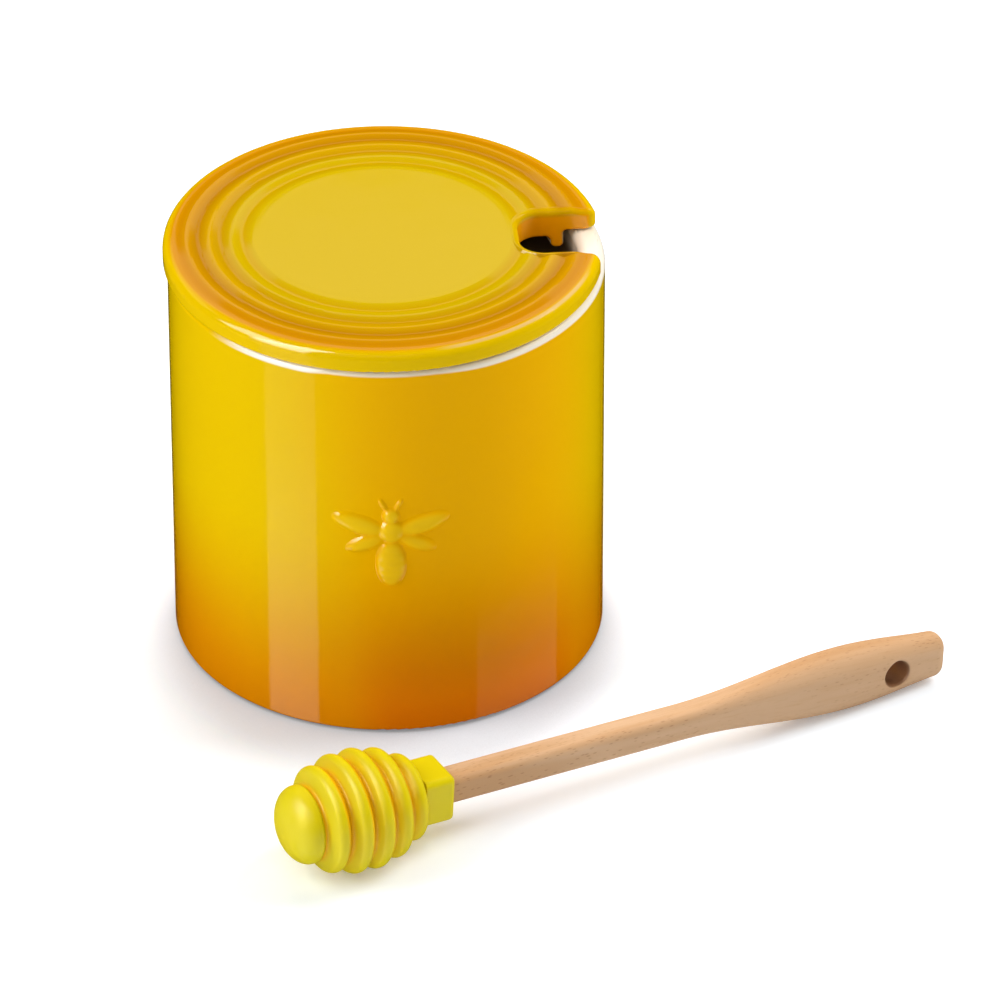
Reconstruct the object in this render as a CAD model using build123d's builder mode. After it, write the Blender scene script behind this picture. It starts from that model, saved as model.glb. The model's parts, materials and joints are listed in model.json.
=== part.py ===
from build123d import *

import os
from math import asin, atan, cos, degrees, hypot, radians, sin, sqrt

# Honey pot with a notched lift-off lid, and a honey dipper lying on the table in front of it.
# Millimetres. The origin is the centre of the foot on the table and +Z is up. The front of the
# pot faces -Y, and the notch of the lid opens towards +X.

# ---- Pot --------------------------------------------------------------------------------------
pot_radius = 50.0
pot_height = 97.8
pot_wall = 6.0
pot_floor = 6.5
pot_base_round = 0.9        # outer corner above the foot
pot_inner_round = 7.0       # corner between the floor and the wall inside
rim_outer_round = 1.6
rim_inner_round = 2.2
foot_inset = 2.4            # foot ring's outer edge, in from the wall
foot_width = 4.0
foot_height = 0.5           # foot ring below the glazed underside
foot_round = 0.2

# ---- Lid --------------------------------------------------------------------------------------
lid_overhang = 0.3          # the lid is this much wider than the pot, all round
lid_seat_gap = 0.3          # glaze to glaze, between the rim and the ledge of the lid
lid_edge_height = 5.7       # ledge to crown at the rim of the lid
lid_plate = 7.2             # thickness of the middle
lid_edge_round = 2.2        # upper outer edge
lid_ledge_round = 0.9       # lower outer edge
lid_shift = -0.7            # the loose lid lies this far off centre, along X
flange_play = 1.3           # radial play between the locating flange and the pot's wall
flange_width = 3.0
flange_depth = 4.4          # below the ledge
flange_round = 1.2
flange_blend = 1.4          # inner corner between the flange and the plate
underside_round = 0.8       # inner corner between the flange and the ledge
ring_count = 3
ring_pitch = 5.0
ring_band = 3.1             # plain outer band, from the last ridge's foot to the lid's rim
ring_depth = 0.65           # the grooves and the outer band lie this far below the crown
ring_round = 2.6
ring_settle = 0.05          # the first and last edge of the grooves lie this far below the crown
ring_exit = 0.7             # share of the depth to which the tool falls past the last ridge

# ---- Notch for the dipper in the lid ----------------------------------------------------------
notch_azimuth = 5.0         # the loose lid is turned by this much from +X towards +Y
notch_offset = -1.8         # the notch lies this far beside the centre line of the lid
notch_reach = 19.4          # from the rim of the lid to the inner end
notch_width = 17.1
notch_end_round = 5.6       # plan corners of the inner end
notch_mouth_round = 3.2     # plan corners where the notch meets the rim of the lid
notch_mouth_flare = 0.6     # these arcs would touch a circle this far outside the rim
notch_edge_round = 1.4      # upper edge of the notch
notch_border = 1.6          # plain border round the notch, at which the grooves end
notch_border_taper = 45.0   # slope from the border down into the grooves, in degrees

# ---- Dipper -----------------------------------------------------------------------------------
dipper_azimuth = 28.8       # the handle points back and to the right
dipper_stand_off = 34.4     # from the pot's wall to the axis of the dipper
dipper_lead = 72.5          # the tip lies this far to the left of the point nearest the pot
head_length = 41.2          # tip to the end of the collar
rib_count = 5
rib_lead = 0.667            # from the dome's rear edge to the first crest, over the ribs' pitch
rib_tail = 0.41             # from the last crest to the collar
rib_crest = 0.315           # rounding of a crest
rib_valley = 0.111          # rounding of a groove
rib_depth = 2.5
rib_settle = 0.12           # a rounded crest lies this far inside the envelope
belly_radius = 14.1         # egg-shaped envelope that the rib crests lie on
belly_place = 0.55          # its middle and half length, over the length up to the collar
belly_reach = 0.5325
dome_length = 6.4           # rounded tip, up to its widest place
dome_radius = 9.1
dome_land = 1.0             # straight run of the dome before its rear edge
dome_fullness = 0.55        # 0.55 is the quarter of an ellipse
dome_edge_round = 0.8
collar_side = 11.8
collar_length = 7.4
collar_round = 1.6
collar_flare = 0.3          # the ribs' foot flares out by this much round the collar
collar_end_round = 1.2
socket_floor = 11.2         # from the tip to the bottom of the socket
socket_play = 0.05          # on each side of the tenon
tenon_tip_gap = 0.4         # between the end of the tenon and the bottom of the socket

neck_side = 7.0
neck_round = 1.8
neck_end = 103.0            # from the tip of the head to where the grip begins
neck_blend = 5.0            # straight run before it, which keeps the flare smooth
flare_run = 18.0            # this and the next runs are from the end of the neck
flare_width, flare_height, flare_round = 8.0, 10.6, 3.2
grip_run = 37.0
grip_width, grip_height, grip_round = 10.2, 15.1, 4.9
grip_rest_run = 47.0        # where the tilted grip touches the table
grip_swell = 0.03           # its half height there, over that of the widest section
hole_run = 55.0
hole_width, hole_height, hole_section_round = 9.0, 13.7, 4.3
end_run = 69.0
end_width, end_height, end_section_round = 7.4, 10.8, 3.5
end_round = 2.8
hole_radius = 3.2
hole_edge_round = 0.7

# ---- Places worked out from the sizes above ---------------------------------------------------
cavity_radius = pot_radius - pot_wall
foot_outer = pot_radius - foot_inset
foot_inner = foot_outer - foot_width
ledge_z = pot_height + lid_seat_gap
crown_z = ledge_z + lid_edge_height
flange_outer = cavity_radius - flange_play
flange_inner = flange_outer - flange_width
lid_radius = pot_radius + lid_overhang
band_radius = lid_radius - ring_band
ring_first = band_radius - ring_count * ring_pitch    # radius of the innermost groove
last_ridge = band_radius - ring_pitch / 2
notch_end = lid_radius - notch_reach

collar_start = head_length - collar_length
rib_pitch = (collar_start - dome_length) / (rib_lead + rib_count - 1 + rib_tail)
rib_first = dome_length + rib_lead * rib_pitch
rib_crest_round = rib_crest * rib_pitch
rib_valley_round = rib_valley * rib_pitch
belly_centre = belly_place * collar_start
belly_half_length = belly_reach * collar_start


def envelope(station):
    """Radius of the rib crests at a station along the dipper."""
    return belly_radius * sqrt(1 - ((station - belly_centre) / belly_half_length) ** 2)


rib_stations = [rib_first + i * rib_pitch for i in range(rib_count)]
lowest_rib = min(rib_stations, key=lambda station: abs(station - belly_centre - 1.0))
head_rest = envelope(lowest_rib) - rib_settle
grip_rest = grip_height / 2 + grip_swell
grip_rest_station = neck_end + grip_rest_run
dipper_tilt = degrees(atan((head_rest - grip_rest) / (grip_rest_station - lowest_rib)))
tip_height = head_rest * cos(radians(dipper_tilt)) + lowest_rib * sin(radians(dipper_tilt))

# The dipper's own plane: its X runs from the tip to the handle and its Y points up.
along = Vector(cos(radians(dipper_azimuth)), sin(radians(dipper_azimuth)), 0)
front = Vector(sin(radians(dipper_azimuth)), -cos(radians(dipper_azimuth)), 0)
up = Vector(0, 0, 1)
dipper = Plane(
    origin=front * (pot_radius + dipper_stand_off) - along * dipper_lead + up * tip_height,
    x_dir=along * cos(radians(dipper_tilt)) - up * sin(radians(dipper_tilt)),
    z_dir=front,
)
dipper_axis = Axis(origin=dipper.origin, direction=dipper.x_dir)


def across(station):
    """Plane square to the dipper: X points to its front side and Y up."""
    return Plane(
        origin=dipper.from_local_coords((station, 0, 0)),
        x_dir=dipper.z_dir,
        z_dir=dipper.x_dir,
    )


# ---- Pot body ---------------------------------------------------------------------------------
pot_outline = [
    ((foot_inner, foot_height), foot_round),
    ((foot_inner, 0), foot_round),
    ((foot_outer, 0), foot_round),
    ((foot_outer, foot_height), foot_round),
    ((pot_radius, foot_height), pot_base_round),
    ((pot_radius, pot_height), rim_outer_round),
    ((cavity_radius, pot_height), rim_inner_round),
    ((cavity_radius, pot_floor), pot_inner_round),
]
with BuildPart() as pot:
    with BuildSketch(Plane.XZ):
        with BuildLine():
            FilletPolyline(
                (0, foot_height),
                *[corner for corner, _ in pot_outline],
                (0, pot_floor),
                radius=[rounding for _, rounding in pot_outline],
            )
            Line((0, pot_floor), (0, foot_height))
        make_face()
    revolve(axis=Axis.Z)
pot.part.label = "pot"

# ---- Lid --------------------------------------------------------------------------------------
lid_plane = Plane(
    origin=(lid_shift, 0, 0),
    x_dir=(cos(radians(notch_azimuth)), sin(radians(notch_azimuth)), 0),
    z_dir=(0, 0, 1),
)
lid_profile = Plane(origin=lid_plane.origin, x_dir=lid_plane.x_dir, z_dir=-lid_plane.y_dir)
lid_axis = Axis(origin=lid_plane.origin, direction=(0, 0, 1))

# Profile of the tool that cuts the grooves: a wave with its ridges at the level of the crown,
# which leaves the plain parts beside it at a shallow angle.
wave = [
    (ring_first - ring_pitch, crown_z + ring_settle),
    (ring_first - ring_pitch / 2, crown_z - ring_settle),
]
for ring in range(ring_count):
    valley = ring_first + ring * ring_pitch
    wave += [(valley, crown_z - ring_depth), (valley + ring_pitch / 2, crown_z)]
wave[-1] = (last_ridge, crown_z - ring_settle)
wave.append((band_radius, crown_z - ring_exit * ring_depth))

underside = [
    ((flange_outer, ledge_z), underside_round),
    ((flange_outer, ledge_z - flange_depth), flange_round),
    ((flange_inner, ledge_z - flange_depth), flange_round),
    ((flange_inner, crown_z - lid_plate), flange_blend),
]


def notch_outline(margin):
    """Plan of the notch, grown by a margin: straight sides and a round-cornered inner end."""
    length = notch_reach + margin + notch_mouth_round
    with BuildSketch() as outline:
        with Locations((notch_end - margin, notch_offset)):
            Rectangle(length, notch_width + 2 * margin, align=(Align.MIN, Align.CENTER))
        fillet(outline.vertices().group_by(Axis.X)[0], notch_end_round + margin)
    return outline.sketch


with BuildPart() as ring_grooves:
    with BuildSketch(lid_profile):
        with BuildLine():
            FilletPolyline(*wave, radius=ring_round)
            Polyline(wave[-1], (band_radius, crown_z + ring_depth), wave[0])
        make_face()
    revolve(axis=lid_axis)
    with BuildSketch(lid_plane.offset(crown_z)):
        add(notch_outline(notch_border))
    extrude(amount=-2 * ring_depth, taper=-notch_border_taper, mode=Mode.SUBTRACT)

with BuildPart() as lid:
    with BuildSketch(lid_profile):
        with BuildLine():
            FilletPolyline(
                (0, crown_z),
                (last_ridge, crown_z),
                (band_radius, crown_z - ring_depth),
                (lid_radius, crown_z - ring_depth),
                (lid_radius, ledge_z),
                radius=[ring_round, ring_round, lid_edge_round],
            )
            FilletPolyline(
                (lid_radius, ledge_z),
                *[corner for corner, _ in underside],
                (0, crown_z - lid_plate),
                radius=[rounding for _, rounding in underside],
            )
            Line((0, crown_z - lid_plate), (0, crown_z))
        make_face()
    revolve(axis=lid_axis)
    with BuildSketch(lid_plane.offset(crown_z)) as notch:
        Circle(lid_radius + 2 * notch_mouth_round)
        Circle(lid_radius + notch_mouth_flare, mode=Mode.SUBTRACT)
        add(notch_outline(0))
        mouth_corners = notch.vertices().sort_by(Axis.X)[-3:-1]
        fillet(mouth_corners, notch_mouth_round)
    extrude(amount=-2 * (crown_z - ledge_z + flange_depth), mode=Mode.SUBTRACT)
    upper_edge = [edge for edge in lid.edges(Select.NEW) if edge.center().Z > ledge_z + notch_edge_round]
    fillet(upper_edge, notch_edge_round)
    rim_edges = lid.edges().filter_by(GeomType.CIRCLE).sort_by(SortBy.LENGTH)[-2:]
    fillet(rim_edges.sort_by(Axis.Z)[0], lid_ledge_round)
    add(ring_grooves.part, mode=Mode.SUBTRACT)
lid.part.label = "lid"

# ---- Dipper head ------------------------------------------------------------------------------
rib_drop = rib_depth - rib_crest_round - rib_valley_round
rib_flank = atan(rib_drop / (rib_pitch / 2)) + asin(
    (rib_crest_round + rib_valley_round) / hypot(rib_drop, rib_pitch / 2)
)
corner_lift = 1 / cos(rib_flank) - 1     # a rounded corner of radius 1 sits this far inside its point
rib_outline = [((dome_length, dome_radius), dome_edge_round)]
for station in rib_stations:
    groove = station - rib_pitch / 2
    rib_outline += [
        ((groove, envelope(groove) - rib_depth - corner_lift * rib_valley_round), rib_valley_round),
        ((station, envelope(station) + corner_lift * rib_crest_round), rib_crest_round),
    ]
dome_depth = dome_length - dome_land
socket_side = neck_side + 2 * socket_play
socket_round = neck_round + socket_play

with BuildPart() as dipper_head:
    with BuildSketch(dipper):
        with BuildLine():
            Bezier(
                (0, 0),
                (0, dome_fullness * dome_radius),
                ((1 - dome_fullness) * dome_depth, dome_radius),
                (dome_depth, dome_radius),
            )
            FilletPolyline(
                (dome_depth, dome_radius),
                *[corner for corner, _ in rib_outline],
                (collar_start, collar_side / 2 + collar_flare),
                (collar_start + collar_round, collar_side / 2 - collar_flare),
                radius=[rounding for _, rounding in rib_outline] + [collar_round],
            )
            Polyline(
                (collar_start + collar_round, collar_side / 2 - collar_flare),
                (collar_start + collar_round, 0),
                (0, 0),
            )
        make_face()
    revolve(axis=dipper_axis)
    with BuildSketch(across(collar_start)):
        RectangleRounded(collar_side, collar_side, collar_round)
    extrude(amount=collar_length)
    fillet(dipper_head.faces().sort_by(dipper_axis)[-1].edges(), collar_end_round)
    with BuildSketch(across(head_length)):
        RectangleRounded(socket_side, socket_side, socket_round)
    extrude(amount=socket_floor - head_length, mode=Mode.SUBTRACT)
dipper_head.part.label = "dipper_head"

# ---- Dipper handle ----------------------------------------------------------------------------
tenon_end = socket_floor + tenon_tip_gap
sections = [
    (-neck_blend, neck_side, neck_side, neck_round),
    (0, neck_side, neck_side, neck_round),
    (flare_run, flare_width, flare_height, flare_round),
    (grip_run, grip_width, grip_height, grip_round),
    (hole_run, hole_width, hole_height, hole_section_round),
    (end_run, end_width, end_height, end_section_round),
]
with BuildPart() as dipper_handle:
    for run, width, height, rounding in sections:
        with BuildSketch(across(neck_end + run)):
            RectangleRounded(width, height, rounding)
    loft()
    with BuildSketch(across(tenon_end)):
        RectangleRounded(neck_side, neck_side, neck_round)
    extrude(amount=neck_end - neck_blend - tenon_end)
    fillet(dipper_handle.faces().sort_by(dipper_axis)[-1].edges(), end_round)
    hole_centre = dipper.from_local_coords((neck_end + hole_run, 0, 0))
    with BuildSketch(Plane(origin=hole_centre, x_dir=dipper.x_dir, z_dir=dipper.z_dir)):
        Circle(hole_radius)
    extrude(amount=grip_width, both=True, mode=Mode.SUBTRACT)
    hole_wall = dipper_handle.faces().sort_by(lambda face: (face.center() - hole_centre).length)[0]
    fillet(hole_wall.edges().filter_by(GeomType.LINE, reverse=True), hole_edge_round)
dipper_handle.part.label = "dipper_handle"

os.makedirs("parts", exist_ok=True)
export_step(pot.part, "parts/pot.step")
export_step(lid.part, "parts/lid.step")
export_step(dipper_head.part, "parts/dipper_head.step")
export_step(dipper_handle.part, "parts/dipper_handle.step")
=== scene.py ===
import json
import math

import bmesh
import bpy
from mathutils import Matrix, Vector


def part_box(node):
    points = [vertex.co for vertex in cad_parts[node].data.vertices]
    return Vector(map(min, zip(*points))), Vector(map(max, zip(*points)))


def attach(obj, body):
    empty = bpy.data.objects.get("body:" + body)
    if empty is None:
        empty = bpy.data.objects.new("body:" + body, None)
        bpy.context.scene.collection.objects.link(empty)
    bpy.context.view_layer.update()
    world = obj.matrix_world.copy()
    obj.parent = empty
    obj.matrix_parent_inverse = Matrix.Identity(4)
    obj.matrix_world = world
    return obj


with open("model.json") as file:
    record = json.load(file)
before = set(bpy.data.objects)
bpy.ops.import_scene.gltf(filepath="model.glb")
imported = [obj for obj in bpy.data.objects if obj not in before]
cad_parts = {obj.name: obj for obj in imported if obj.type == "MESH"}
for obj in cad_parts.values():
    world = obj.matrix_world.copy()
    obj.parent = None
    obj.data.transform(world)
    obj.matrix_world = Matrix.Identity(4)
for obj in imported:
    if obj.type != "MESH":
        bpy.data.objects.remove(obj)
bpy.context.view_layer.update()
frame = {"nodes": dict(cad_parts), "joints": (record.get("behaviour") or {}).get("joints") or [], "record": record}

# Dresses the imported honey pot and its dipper: glazes, silicone, beech, the relief bee on the front
# of the pot, and a small white studio. Metres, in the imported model's frame, unless a name says mm.
# Azimuths turn round the pot's axis, from the front (-Y) towards +X. A pair of numbers for a step
# says where it starts and where it is whole.

MM = 0.001

# ---- Sizes read from the frame ----------------------------------------------------------------
pot_low, pot_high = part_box("pot")
lid_low, lid_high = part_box("lid")
pot_radius = (pot_high.y - pot_low.y) / 2
pot_height = pot_high.z
lid_radius = (lid_high.y - lid_low.y) / 2
lid_centre_x = lid_low.x + lid_radius
crown = lid_high.z
head_pull = next(joint for joint in frame["joints"] if joint["name"] == "head_pull")
dipper_along = -Vector(head_pull["axis"])
dipper_side = dipper_along.cross(Vector((0, 0, 1))).normalized()
dipper_up = dipper_side.cross(dipper_along)
hanging_hole = next(mount for mount in frame["record"]["mounts"] if mount["name"] == "hanging_hole")
hole_centre = Vector(hanging_hole["pos_m"])
hole_radius = hanging_hole["dims"]["r_mm"] * MM


def tone(red, green, blue):
    """The linear colour of these screen values, 0 to 255, for a socket."""
    shares = [value / 255 for value in (red, green, blue)]
    linear = [v / 12.92 if v <= 0.04045 else ((v + 0.055) / 1.055) ** 2.4 for v in shares]
    return (*linear, 1.0)


def around(azimuth, radius):
    """The x and y of a place at this azimuth, this far from the pot's axis."""
    return radius * math.sin(azimuth), -radius * math.cos(azimuth)


def towards(azimuth, x, y):
    """How far x and y, wires or numbers, reach towards this azimuth."""
    return x * math.sin(azimuth) - y * math.cos(azimuth)


def length(first, second):
    """Length of a vector with these two parts, wires or numbers."""
    return (first * first + second * second) ** 0.5


# ---- Shader expressions -----------------------------------------------------------------------
class Wire:
    """An output socket. Python's operators work on one that carries a value, by adding Math nodes."""

    def __init__(self, finish, socket):
        self.finish = finish
        self.socket = socket

    def join(self, operation, first, second):
        return self.finish.node("ShaderNodeMath", {"operation": operation}, {0: first, 1: second})

    def __add__(self, other):
        return self.join("ADD", self, other)

    def __sub__(self, other):
        return self.join("SUBTRACT", self, other)

    def __mul__(self, other):
        return self.join("MULTIPLY", self, other)

    def __truediv__(self, other):
        return self.join("DIVIDE", self, other)

    def __pow__(self, other):
        return self.join("POWER", self, other)

    def __radd__(self, other):
        return self.join("ADD", other, self)

    def __rsub__(self, other):
        return self.join("SUBTRACT", other, self)

    def __rmul__(self, other):
        return self.join("MULTIPLY", other, self)

    def __rtruediv__(self, other):
        return self.join("DIVIDE", other, self)

    def __rpow__(self, other):
        return self.join("POWER", other, self)

    def dot(self, direction):
        """How far this vector reaches along a fixed direction."""
        settings = {"operation": "DOT_PRODUCT"}
        return self.finish.node("ShaderNodeVectorMath", settings, {0: self, 1: direction}, output="Value")

    def most(self, other):
        return self.join("MAXIMUM", self, other)

    def wave(self):
        """The cosine of this angle, in radians."""
        return self.join("COSINE", self, 0)

    def step(self, start, end):
        """0 before start, 1 after end, and smooth between them; start may be the larger one."""
        sockets = {"Value": self, "From Min": start, "From Max": end}
        return self.finish.node("ShaderNodeMapRange", {"interpolation_type": "SMOOTHSTEP"}, sockets)

    def under(self, edge, blur):
        """1 below this edge and 0 above it, and smooth over blur on either side."""
        return self.step(edge + blur, edge - blur)


class Finish:
    """A material while it is made: its nodes, and the shader they feed."""

    def __init__(self, name, **constants):
        self.material = bpy.data.materials.new(name)
        self.material.use_nodes = True
        self.nodes = self.material.node_tree.nodes
        self.links = self.material.node_tree.links
        self.shader = self.nodes["Principled BSDF"]
        for socket, value in constants.items():
            self.shader.inputs[socket.replace("_", " ")].default_value = value
        self.place = self.node("ShaderNodeTexCoord", output="Object")
        self.x, self.y, self.z = (self.place.dot(axis) for axis in ((1, 0, 0), (0, 1, 0), (0, 0, 1)))

    def node(self, kind, settings=None, sockets=None, output=0):
        """Adds a node, sets its settings and then its sockets, and gives one of its outputs."""
        made = self.nodes.new(kind)
        for setting, value in (settings or {}).items():
            if setting == "stops":
                fill_ramp(made.color_ramp, value)
            else:
                setattr(made, setting, value)
        for socket, value in (sockets or {}).items():
            self.feed(made.inputs[socket], value)
        return Wire(self, made.outputs[output])

    def feed(self, socket, value):
        if isinstance(value, Wire):
            self.links.new(value.socket, socket)
        else:
            socket.default_value = value

    def noise(self, place, scale, detail):
        """Cloudy noise around 0.5, with about scale blotches to each unit of place."""
        sockets = {"Vector": place, "Scale": scale, "Detail": detail}
        return self.node("ShaderNodeTexNoise", sockets=sockets)

    def blend(self, share, first, second):
        """The first colour where share is 0, the second where it is 1."""
        sockets = {"Factor": share, 6: first, 7: second}
        return self.node("ShaderNodeMix", {"data_type": "RGBA"}, sockets, output=2)

    def ramp(self, share, stops):
        return self.node("ShaderNodeValToRGB", {"stops": stops}, {"Fac": share})

    def stretched(self, along, across, up):
        """The dipper's own coordinates, each times its own factor."""
        parts = {
            "X": self.place.dot(dipper_along) * along,
            "Y": self.place.dot(dipper_side) * across,
            "Z": self.place.dot(dipper_up) * up,
        }
        return self.node("ShaderNodeCombineXYZ", sockets=parts)

    def bump(self, height, distance):
        return self.node("ShaderNodeBump", sockets={"Height": height, "Distance": distance})

    def surface(self, **wires):
        """Feeds the shader's sockets and gives the finished material."""
        for socket, wire in wires.items():
            self.feed(self.shader.inputs[socket.replace("_", " ")], wire)
        return self.material


def fill_ramp(ramp, stops):
    """Gives a colour ramp these (position, colour) stops."""
    while len(ramp.elements) < len(stops):
        ramp.elements.new(1.0)
    for element, (position, colour) in zip(ramp.elements, stops):
        element.position = position
        element.color = colour


# ---- Glazes -----------------------------------------------------------------------------------
glaze_ior = 1.5
ripple_scale = 120              # the glazes are not quite level
ripple_depth = 0.03 * MM
smear_scale = 60                # nor quite evenly glossy
pot_gloss, pot_smear, bare_matt = 0.06, 0.02, 0.7       # roughness, and what smears and bare clay add
lid_gloss, lid_smear = 0.08, 0.03
white_glaze = tone(245, 235, 217)
# painted shade for the white glaze inside the pot and under it
inner_painted_shade = tone(150, 132, 104)
bisque = tone(226, 214, 192)
honey_yellow = tone(231, 189, 0)
honey_orange = tone(218, 131, 0)
# painted shade: the deeper yellow and orange used towards the front right of the pot
yellow_painted_shade = tone(243, 177, 0)
orange_painted_shade = tone(216, 110, 0)
relief_yellow = tone(240, 205, 30)

pot_cloud_scale = 22
painted_shade_azimuth = math.radians(24)     # painted shade: the glaze is set a deeper colour towards here,
painted_shade_cosines = (0.6, 1.0)           # by the cosine of the angle from there,
painted_shade_waver = 0.1
painted_shade_rust_shares = (0.5, 1.0)            # and where the painted shade is deepest the orange turns to rust
orange_heights = (57 * MM, -2 * MM)     # the yellow turns to orange down to the foot
orange_waver = 10 * MM
thin_heights = (0.15 * MM, 0.9 * MM)    # what stands out this far from the wall has thinner glaze
thin_share = 0.55
rim_break = 1.7 * MM            # the coloured glaze ends this far below the rim towards +X,
rim_higher = 0.6 * MM           # this much nearer to it at the front, between
rim_front_left = (-0.38, -0.24)     # these sines of the azimuth
rim_front_right = (0.5, 0.2)
rim_covered = (-0.6, -0.8)      # and covers it towards -X, from these
rim_blur = 0.5 * MM
rim_waver = 0.5 * MM
rim_inboard = 1.4 * MM          # on the rim it ends this far in from the outer wall
rim_inboard_blur = 0.25 * MM
under_inboard = 2.3 * MM        # under the pot it runs this far in
under_blur = 0.2 * MM
rim_zone = 8 * MM               # below the rim, where painted shade darkens the white glaze inside
foot_bare = 0.45 * MM           # height of the wiped, unglazed foot
foot_blur = 0.1 * MM


def ripples(glaze):
    """The normal of a glaze."""
    return glaze.bump(glaze.noise(glaze.place, ripple_scale, 1), ripple_depth)


def honey_glaze(glaze, radius, cloud):
    """The pot's coloured glaze: its colour everywhere, with painted shade towards the front right, before the
    white and the bare clay.
    """
    shade = (glaze.z + cloud * orange_waver).step(*orange_heights)
    # painted shade: the glaze turns darker and more orange towards the front right
    toward = towards(painted_shade_azimuth, glaze.x, glaze.y) / radius
    painted_shade = (toward + cloud * painted_shade_waver).step(*painted_shade_cosines)
    yellow = glaze.blend(painted_shade, honey_yellow, yellow_painted_shade)
    orange = glaze.blend(painted_shade.step(*painted_shade_rust_shares), honey_orange, orange_painted_shade)
    colour = glaze.blend(shade, yellow, orange)
    thin = radius.step(*(pot_radius + height for height in thin_heights))
    return glaze.blend(thin * thin_share, colour, relief_yellow)


def white_share(glaze, radius, cloud, rim):
    """1 where the pot's glaze is white: the rim, the inside and the underside."""
    side = glaze.x / radius
    front = side.step(*rim_front_left) * side.step(*rim_front_right)
    height = glaze.z + cloud * rim_waver - rim_higher * front
    above = height.step(pot_height - rim_break, pot_height - rim_break + rim_blur)
    above = above * (1 - side.step(*rim_covered))
    on_rim = radius.under(pot_radius - rim_inboard, rim_inboard_blur) * rim
    inside = radius.under(pot_radius - under_inboard, under_blur)
    return 1 - (1 - above) * (1 - on_rim) * (1 - inside)


def make_pot_glaze():
    glaze = Finish("pot_glaze", IOR=glaze_ior)
    radius = length(glaze.x, glaze.y)
    cloud = glaze.noise(glaze.place, pot_cloud_scale, 3) - 0.5
    rim = glaze.z.step(pot_height - rim_zone, pot_height - rim_zone / 2)
    white = white_share(glaze, radius, cloud, rim)
    # painted shade: below the rim zone the white glaze is darkened, inside the pot and under it
    white_and_painted_shade = glaze.blend(rim, inner_painted_shade, white_glaze)
    colour = glaze.blend(white, honey_glaze(glaze, radius, cloud), white_and_painted_shade)
    bare = glaze.z.under(foot_bare, foot_blur)
    smears = glaze.noise(glaze.place, smear_scale, 2)
    return glaze.surface(
        Base_Color=glaze.blend(bare, colour, bisque),
        Roughness=pot_gloss + pot_smear * smears + bare * bare_matt,
        Normal=ripples(glaze),
    )


lid_cloud_scale = 26
ring_waver = 0.8 * MM
# painted shade: the lid's yellow is the pot's glaze set darker, against the stronger light on the lid's top
disc_yellow_painted_shade = tone(201, 168, 4)
ring_stops_mm = [               # radius on the lid, and the glaze there: darker in the grooves, partly glaze pooled in them and partly painted shade
    (0.0, disc_yellow_painted_shade),
    (29.5, disc_yellow_painted_shade),
    (31.6, tone(195, 153, 0)),
    (34.0, tone(201, 167, 2)),
    (37.0, tone(187, 138, 0)),
    (39.5, tone(204, 156, 0)),
    (42.2, tone(178, 119, 0)),
    (44.6, tone(201, 142, 0)),
    (46.2, tone(197, 129, 0)),
    (48.0, tone(205, 138, 0)),
    (49.3, tone(232, 190, 0)),
]
edge_painted_highlight = tone(226, 184, 108)     # painted highlight along the lid's edge,
edge_highlight_mm = (48.5, 48.9, 49.2, 49.6)     # from, whole between, and to these radii,
edge_highlight_azimuth = math.radians(44)     # most of all towards here,
edge_highlight_cosines = (0.86, 0.94)         # by the cosine of the angle from there
edge_highlight_waver = 0.04
ledge = crown - 5.7 * MM            # underside of the lid's edge, over the pot's rim
under_heights = (0.35 * MM, 0.05 * MM)      # below these heights over it the glaze is white,
under_waver = 0.3 * MM
under_insets = (0.7 * MM, 1.1 * MM)         # this far in from the lid's outer wall
notch_turn = math.radians(5)        # the notch opens this far from +X towards +Y
notch_offset = -1.8 * MM            # its middle, beside the centre line of the lid
notch_end = 30.9 * MM               # its inner end, from the axis of the lid
notch_half_width = 8.55 * MM
notch_corner = 5.6 * MM             # rounding of its inner end
notch_lip = (1.5 * MM, 0.2 * MM)    # its rounded upper edge shows thinner, brighter glaze with a painted highlight, this near to it
lip_share = 0.6
lip_glaze_and_highlight = tone(232, 186, 0)
notch_wall_painted_light = tone(252, 170, 0)    # painted light: brighter glaze on its shaded walls,
wall_reach = (0.4 * MM, 0.1 * MM)   # this near to it
wall_depths = (1.0 * MM, 2.2 * MM)  # and this far below the crown
notch_wrap = (0.4 * MM, 0.5 * MM)   # the coloured glaze wraps this far under the lid round the notch


def distance_from_notch(x, y):
    """How far outside the notch a place lies, by its x and y from the lid's axis."""
    reach = x * math.cos(notch_turn) + y * math.sin(notch_turn)
    aside = y * math.cos(notch_turn) - x * math.sin(notch_turn) - notch_offset
    past = (notch_end + notch_corner - reach).most(0)
    beside = ((aside * aside) ** 0.5 - (notch_half_width - notch_corner)).most(0)
    return length(past, beside) - notch_corner


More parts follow.
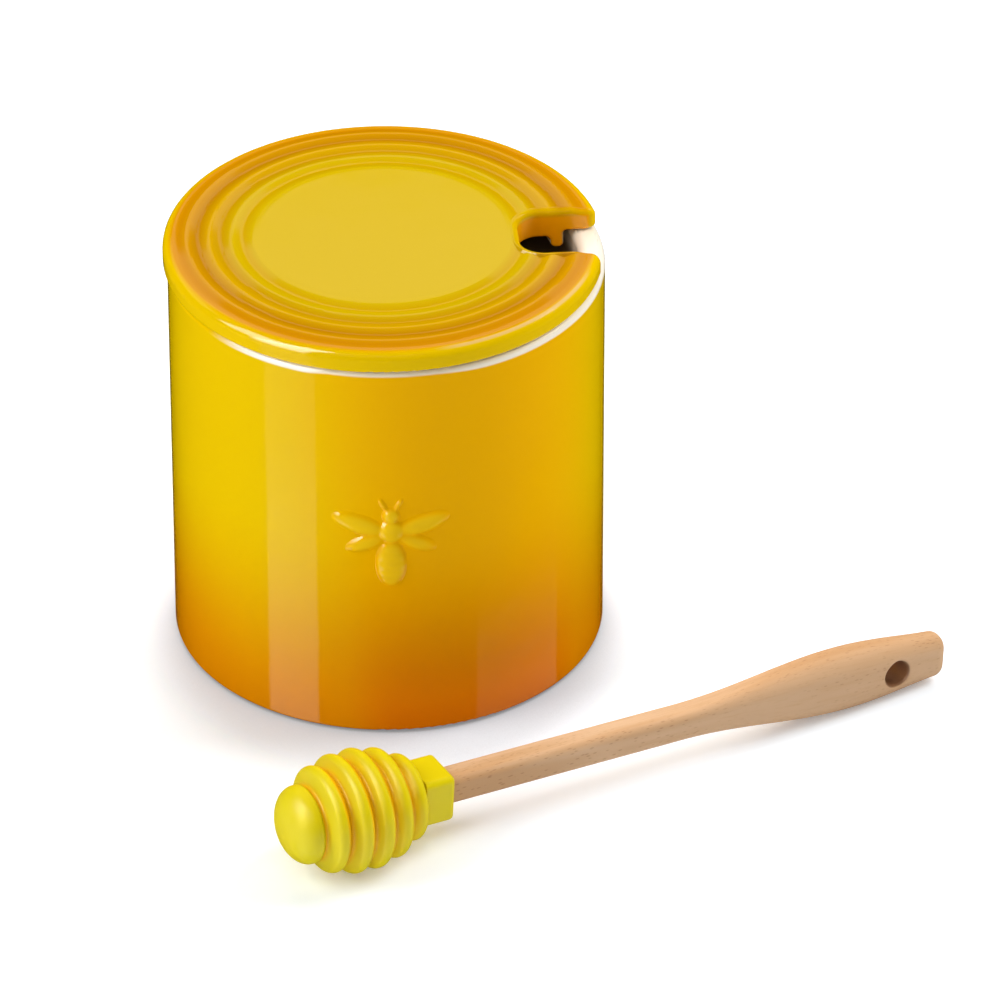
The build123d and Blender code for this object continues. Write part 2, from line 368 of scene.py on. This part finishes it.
def make_lid_glaze():
    glaze = Finish("lid_glaze", IOR=glaze_ior)
    offset = glaze.x - lid_centre_x
    radius = length(offset, glaze.y)
    cloud = glaze.noise(glaze.place, lid_cloud_scale, 3) - 0.5
    stops = [(mm * MM / lid_radius, colour) for mm, colour in ring_stops_mm]
    colour = glaze.ramp((radius + cloud * ring_waver) / lid_radius, stops)
    # painted highlight: a pale line along the lid's edge, most of all at its right front
    start, full, fading, end = (mm * MM for mm in edge_highlight_mm)
    toward = towards(edge_highlight_azimuth, offset, glaze.y) / radius
    line = radius.step(start, full) * radius.step(end, fading)
    line = line * (toward + cloud * edge_highlight_waver).step(*edge_highlight_cosines)
    colour = glaze.blend(line, colour, edge_painted_highlight)
    from_notch = distance_from_notch(offset, glaze.y)
    # thinner glaze and a painted highlight on the notch's rounded upper edge
    colour = glaze.blend(from_notch.step(*notch_lip) * lip_share, colour, lip_glaze_and_highlight)
    # painted light: the notch's shaded walls get a brighter orange
    low_down = glaze.z.step(*(crown - depth for depth in wall_depths))
    colour = glaze.blend(from_notch.step(*wall_reach) * low_down, colour, notch_wall_painted_light)
    below = (glaze.z + cloud * under_waver).step(*(ledge + height for height in under_heights))
    inboard = radius.step(*(lid_radius - inset for inset in under_insets))
    colour = glaze.blend(below * inboard * from_notch.step(*notch_wrap), colour, white_glaze)
    return glaze.surface(
        Base_Color=colour,
        Roughness=lid_gloss + lid_smear * glaze.noise(glaze.place, smear_scale, 2),
        Normal=ripples(glaze),
    )


# ---- Silicone and beech -----------------------------------------------------------------------
silicone_ior = 1.42
silicone_yellow = tone(228, 211, 6)
silicone_deep = tone(229, 202, 2)
# painted shade on the ribs' sides and in their grooves
silicone_painted_shade = tone(248, 172, 0)
silicone_cloud_scale = 90
silicone_grain_scale = 1800
silicone_grain_depth = 0.012 * MM
silicone_satin, silicone_uneven = 0.33, 0.1     # roughness, and what the clouds add
hole_station = 158 * MM         # from the tip of the head to the hanging hole
first_rib = 10.0 * MM           # from the tip to the crest of the first rib
rib_pitch = 5.397 * MM
rib_shade_shift = 0.7 * MM          # the painted shade lies this far ahead of the groove's middle,
rib_shade_waves = (0.2, -0.9)       # between these cosines of the turn from crest to crest,
rib_shade_share = 0.8
rib_shade_begins = (6.6 * MM, 7.1 * MM)     # from and to these distances from the tip
rib_shade_ends = (32.5 * MM, 32.2 * MM)


def make_silicone():
    silicone = Finish("silicone", IOR=silicone_ior)
    cloud = silicone.noise(silicone.place, silicone_cloud_scale, 3)
    grain = silicone.noise(silicone.place, silicone_grain_scale, 2)
    station = silicone.place.dot(dipper_along) - (hole_centre.dot(dipper_along) - hole_station)
    # painted shade: orange on each rib's side towards the collar and in its groove
    turn = (station - (first_rib - rib_shade_shift)) * (2 * math.pi / rib_pitch)
    rib_shade = turn.wave().step(*rib_shade_waves) * rib_shade_share
    rib_shade = rib_shade * station.step(*rib_shade_begins) * station.step(*rib_shade_ends)
    colour = silicone.blend(cloud, silicone_yellow, silicone_deep)
    return silicone.surface(
        Base_Color=silicone.blend(rib_shade, colour, silicone_painted_shade),
        Roughness=silicone_satin + silicone_uneven * cloud,
        Normal=silicone.bump(grain, silicone_grain_depth),
    )


beech_ior = 1.45
beech_light = tone(224, 186, 148)
beech_dark = tone(201, 154, 108)
beech_fleck = tone(166, 113, 70)
beech_bored = tone(110, 64, 34)
growth_stretch = (14, 220, 90)      # factors along the handle, across it and up
fibre_stretch = (90, 2600, 1500)
fleck_stretch = (420, 2600, 1300)
growth_dark = (0.35, 0.68)
fibre_dark, fibre_share = (0.5, 0.75), 0.35
grip_from_hole, grip_share = (85 * MM, 40 * MM), 0.5    # the grip is darker than the neck
fleck_cells, fleck_growth, fleck_share = (0.3, 0.12), (0.3, 0.6), 0.55
bored_past, bored_share = (0.5 * MM, 0.1 * MM), 0.8     # the bore is dark, and a little round it
beech_matt, fibre_matt, fleck_matt = 0.46, 0.16, 0.1    # roughness, and what fibres and flecks add
beech_depth, fleck_depth = 0.03 * MM, 0.6       # depth of the fibres, and of flecks as a share of it


def make_beech():
    beech = Finish("beech", IOR=beech_ior)
    growth = beech.noise(beech.stretched(*growth_stretch), 1, 3)
    fibre = beech.noise(beech.stretched(*fibre_stretch), 1, 2)
    colour = beech.blend(growth.step(*growth_dark), beech_light, beech_dark)
    colour = beech.blend(fibre.step(*fibre_dark) * fibre_share, colour, beech_dark)
    along = beech.place.dot(dipper_along) - hole_centre.dot(dipper_along)
    up = beech.place.dot(dipper_up) - hole_centre.dot(dipper_up)
    colour = beech.blend((0 - along).step(*grip_from_hole) * grip_share, colour, beech_dark)
    sockets = {"Vector": beech.stretched(*fleck_stretch), "Scale": 1.0}
    cells = beech.node("ShaderNodeTexVoronoi", sockets=sockets)
    fleck = cells.step(*fleck_cells) * growth.step(*fleck_growth)
    colour = beech.blend(fleck * fleck_share, colour, beech_fleck)
    bored = length(along, up).step(*(hole_radius + past for past in bored_past))
    return beech.surface(
        Base_Color=beech.blend(bored * bored_share, colour, beech_bored),
        Roughness=beech_matt + fibre_matt * fibre + fleck_matt * fleck,
        Normal=beech.bump(fibre - fleck * fleck_depth, beech_depth),
    )


# ---- Relief bee on the front of the pot -------------------------------------------------------
bee_height = 52.5 * MM          # of its middle over the table
bee_azimuth = math.radians(1.5)
bee_width = 31 * MM
bee_tall = 28 * MM
bee_relief = 1.4 * MM
bee_grid = 0.25 * MM            # spacing of the mesh
bee_root = 0.08 * MM            # the patch's rim lies this far inside the wall
bee_smoothing = 3               # rounds of smoothing
bee_fullness = 0.6              # power that rounds an oval's sides; 0.5 would be an ellipsoid

# Ovals of the bee, in mm: centre across, centre up, half length, half width, lean in degrees, share of
# the relief. The right side is mirrored.
bee_body = [
    (0.0, -5.4, 6.4, 3.5, 90, 1.0),
    (0.0, 3.2, 3.0, 2.9, 90, 1.0),
    (0.0, 7.4, 1.9, 2.0, 0, 0.9),
]
bee_sides = [
    (7.2, 4.9, 6.6, 2.5, 16, 0.75),
    (5.9, -0.1, 4.9, 2.0, -24, 0.6),
    (1.7, 10.3, 2.1, 0.5, 62, 0.5),
]
bee_stripes = 4                 # bands across the first oval
bee_stripe_from = -9.6          # where they start, and their spacing, in mm
bee_stripe_pitch = 2.5
bee_stripe_depth = 0.2          # their depth, as a share of its height


def oval(across, up, shape):
    """How high an oval stands at a place: its share in its middle, 0 at its rim and outside."""
    centre_across, centre_up, half_length, half_width, lean, share = shape
    turn = math.radians(lean)
    dx, dy = across - centre_across, up - centre_up
    along = (dx * math.cos(turn) + dy * math.sin(turn)) / half_length
    beside = (dy * math.cos(turn) - dx * math.sin(turn)) / half_width
    return share * max(0.0, 1 - along ** 2 - beside ** 2) ** bee_fullness


def bee_rise(across, up):
    """Height of the relief, 0 to 1, at a place given in mm from the bee's middle."""
    body = [oval(across, up, shape) for shape in bee_body]
    sides = [oval(abs(across), up, shape) for shape in bee_sides]
    row = (up - bee_stripe_from) / bee_stripe_pitch
    if 0 < row < bee_stripes:
        body[0] *= (1 - bee_stripe_depth) + bee_stripe_depth * abs(math.sin(math.pi * row))
    return max(body + sides)


def smooth_heights(rows, passes):
    """Averages each height with its neighbours, which rounds the glaze over the relief."""
    for _ in range(passes):
        padded = [rows[0]] + rows + [rows[-1]]
        smoothed = []
        for i, row in enumerate(rows):
            beside = [row[0]] + row + [row[-1]]
            smoothed.append([
                (padded[i][j] + padded[i + 2][j] + beside[j] + beside[j + 2] + 2 * row[j]) / 6
                for j in range(len(row))
            ])
        rows = smoothed
    return rows


def make_bee():
    """A thin curved patch that lies on the wall and rises where the bee is."""
    columns = round(bee_width / bee_grid) + 1
    lines = round(bee_tall / bee_grid) + 1
    across = [(j - (columns - 1) / 2) * bee_grid for j in range(columns)]
    up = [(i - (lines - 1) / 2) * bee_grid for i in range(lines)]
    rises = smooth_heights([[bee_rise(a / MM, u / MM) for a in across] for u in up], bee_smoothing)
    mesh = bmesh.new()
    grid = []
    for u, row in zip(up, rises):
        line = []
        for a, rise in zip(across, row):
            reach = pot_radius - bee_root + rise * bee_relief
            place = around(bee_azimuth + a / pot_radius, reach)
            line.append(mesh.verts.new((*place, bee_height + u)))
        grid.append(line)
    for low, high in zip(grid, grid[1:]):
        for j in range(columns - 1):
            mesh.faces.new((low[j], low[j + 1], high[j + 1], high[j])).smooth = True
    return add_mesh("relief_bee", mesh)


def add_mesh(name, mesh):
    """Turns a bmesh into an object of the scene."""
    data = bpy.data.meshes.new(name)
    mesh.to_mesh(data)
    mesh.free()
    made = bpy.data.objects.new(name, data)
    bpy.context.scene.collection.objects.link(made)
    return made


# ---- Studio -----------------------------------------------------------------------------------
floor_half = 3.0
floor_cells = 12
floor_ior = 1.4
floor_matt = 0.45
floor_glow = 0.24               # the table is lit from below, which keeps its shadows pale
floor_tones = (tone(241, 248, 254), tone(239, 246, 252))
floor_cloud_scale = 40
contact_reach = 40 * MM         # the pot shades the table round its foot, up to this far away,
contact_samples = 8
contact_ahead = 14 * MM         # and most of it falls towards the front
contact_full = pot_radius - 4 * MM      # the shading is whole inside this radius
contact_end = pot_radius + 15 * MM      # and gone outside this one
panel_distance = 1.2            # the reflected panels stand on a cylinder round the pot
panel_steps = 24
lamps_aim = Vector((0, 0, 50 * MM))
sky_strength = 0.03
camera_aim = Vector((25.97 * MM, 0, 31.09 * MM))
camera_elevation = math.radians(33.52)
camera_distance = 2.014
camera_lens_mm, camera_sensor_mm = 312, 36


def make_floor():
    mesh = bmesh.new()
    bmesh.ops.create_grid(mesh, x_segments=floor_cells, y_segments=floor_cells, size=floor_half)
    floor = add_mesh("floor", mesh)
    paper = Finish("white_table", Roughness=floor_matt, IOR=floor_ior, Emission_Strength=floor_glow)
    colour = paper.blend(paper.noise(paper.place, floor_cloud_scale, 2), *floor_tones)
    shading = {"Color": colour, "Distance": contact_reach}
    settings = {"samples": contact_samples}
    shaded = paper.node("ShaderNodeAmbientOcclusion", settings, shading, output="Color")
    radius = length(paper.x, paper.y + contact_ahead)
    shaded = paper.blend(radius.step(contact_end, contact_full), colour, shaded)
    floor.data.materials.append(paper.surface(Base_Color=shaded, Emission_Color=colour))
    floor.visible_glossy = False


def make_panel(name, azimuths, heights, glow, sampled):
    """A curved sheet that only reflections see; glow is its (height, strength) at two heights."""
    mesh = bmesh.new()
    first, last = azimuths
    rims = []
    for height in heights:
        rim = []
        for i in range(panel_steps + 1):
            azimuth = math.radians(first + (last - first) * i / panel_steps)
            rim.append(mesh.verts.new((*around(azimuth, panel_distance), height)))
        rims.append(rim)
    low, high = rims
    for i in range(panel_steps):
        mesh.faces.new((low[i], low[i + 1], high[i + 1], high[i]))
    panel = add_mesh(name, mesh)
    light = Finish(name, Base_Color=(0, 0, 0, 1), Emission_Strength=1.0)
    (bottom, faint), (top, bright) = glow
    sockets = {"Value": light.z, "From Min": bottom, "From Max": top, "To Min": faint, "To Max": bright}
    light.surface(Emission_Color=light.node("ShaderNodeMapRange", sockets=sockets))
    light.material.cycles.emission_sampling = "AUTO" if sampled else "NONE"
    panel.data.materials.append(light.material)
    panel.visible_camera = False
    panel.visible_diffuse = False
    panel.visible_shadow = False


def make_lamp(name, azimuth, elevation, distance, width, height, power, mirrored):
    """A soft lamp that faces the pot, at these degrees, and whether glossy surfaces mirror it."""
    light = bpy.data.lights.new(name, "AREA")
    light.shape = "RECTANGLE"
    light.size = width
    light.size_y = height
    light.energy = power
    lamp = bpy.data.objects.new(name, light)
    rise = math.radians(elevation)
    way = Vector((*around(math.radians(azimuth), math.cos(rise)), math.sin(rise)))
    lamp.location = lamps_aim + way * distance
    lamp.rotation_euler = way.to_track_quat("Z", "Y").to_euler()
    lamp.visible_glossy = mirrored
    bpy.context.scene.collection.objects.link(lamp)


def make_sky():
    world = bpy.data.worlds.new("studio_white")
    bpy.context.scene.world = world
    world.use_nodes = True
    background = world.node_tree.nodes["Background"]
    background.inputs["Color"].default_value = (1, 1, 1, 1)
    background.inputs["Strength"].default_value = sky_strength
    world.cycles_visibility.glossy = False


def make_camera():
    data = bpy.data.cameras.new("camera")
    data.lens = camera_lens_mm
    data.sensor_width = camera_sensor_mm
    data.clip_start = 0.1
    camera = bpy.data.objects.new("camera", data)
    back = Vector((0, -math.cos(camera_elevation), math.sin(camera_elevation)))
    camera.location = camera_aim + camera_distance * back
    camera.rotation_euler = (math.pi / 2 - camera_elevation, 0, 0)
    bpy.context.scene.collection.objects.link(camera)
    bpy.context.scene.camera = camera


# ---- Put together -----------------------------------------------------------------------------
finishes = {
    "pot": make_pot_glaze(),
    "lid": make_lid_glaze(),
    "dipper_head": make_silicone(),
    "dipper_handle": make_beech(),
}
for name, material in finishes.items():
    for material_slot in frame["nodes"][name].material_slots:
        material_slot.material = material
for name in ("dipper_head", "dipper_handle"):
    frame["nodes"][name].visible_glossy = False     # the glazes mirror only the studio

bee = make_bee()
bee.data.materials.append(finishes["pot"])
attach(bee, "pot")

# Azimuths in degrees, heights, glow, and whether the sheet is sampled as a light. The first two lie
# below the table, where the pot's lower wall mirrors them.
panels = [
    ("strip_in_table", (-65.5, -37.0), (-1.8, 0.0), ((-0.80, 1.06), (-0.66, 0.27)), False),
    ("fill_in_table", (48, 101), (-1.8, -0.4), ((-0.80, 0.3), (-0.755, 0.0)), False),
    ("softbox", (-65.5, -37.0), (0.0, 2.6), ((0.1, 2.0), (0.5, 10.0)), True),
    ("back_sheet", (110, 250), (0.815, 1.3), ((1.0, 0.4), (1.3, 0.4)), True),
    ("rim_sheet", (105, 130), (0.94, 1.43), ((0.94, 3.5), (1.43, 3.5)), True),
]
# Azimuth, elevation, distance, width, height, watts, and whether it is mirrored.
lamps = [
    ("left", -74, 38, 1.3, 0.6, 0.9, 10.5, True),
    ("right", 107, 39, 1.3, 0.6, 0.9, 13, False),
    ("behind", 180, 62, 1.4, 1.0, 0.8, 4.5, False),
    ("low_behind", 180, 35, 1.4, 1.2, 0.5, 9, False),
    ("front", -5, 50, 1.4, 1.0, 0.8, 5.5, False),
]
make_floor()
for panel in panels:
    make_panel(*panel)
for lamp in lamps:
    make_lamp(*lamp)
make_sky()
make_camera()
bpy.context.scene.view_settings.view_transform = "Standard"
